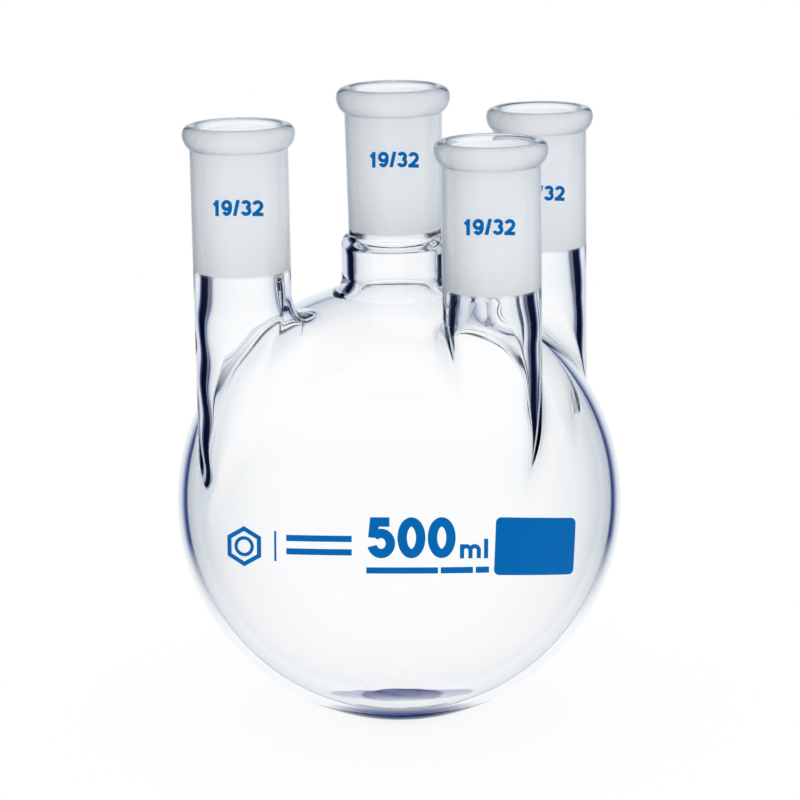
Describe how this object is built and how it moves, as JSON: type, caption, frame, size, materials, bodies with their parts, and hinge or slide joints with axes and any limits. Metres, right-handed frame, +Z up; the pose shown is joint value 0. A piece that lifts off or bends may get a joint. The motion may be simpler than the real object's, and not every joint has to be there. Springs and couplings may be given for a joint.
{
  "type": "round bottom flask",
  "caption": "Round bottom laboratory flask with a clear spherical bulb, parallel upright necks with rolled beads, and tapered ground sockets at every mouth.",
  "frame": {"origin": "lowest point of the bulb, on the axis of the centre neck", "axes": "+Z up along the centre neck, -Y towards the reader of the printing, +X to the reader's right"},
  "size_m": [0.105, 0.1051, 0.1507],
  "materials": {
    "clear_glass": "clear fire-polished borosilicate glass",
    "ground_glass": "frosted: ground on the inside, fire-polished outside",
    "blue_enamel": "fired screen-printed enamel"
  },
  "bodies": {
    "root": {"bulb": "clear_glass", "centre_neck": "clear_glass", "left_neck": "clear_glass", "front_neck": "clear_glass", "rear_neck": "clear_glass", "centre_socket": "ground_glass", "left_socket": "ground_glass", "front_socket": "ground_glass", "rear_socket": "ground_glass", "capacity_mark": "blue_enamel", "writing_patch": "blue_enamel", "emblem": "blue_enamel", "divider_rule": "blue_enamel", "maker_bars": "blue_enamel", "glass_type_rule": "blue_enamel", "centre_size_mark": "blue_enamel", "left_size_mark": "blue_enamel", "front_size_mark": "blue_enamel", "rear_size_mark": "blue_enamel"}
  },
  "joints": []
}
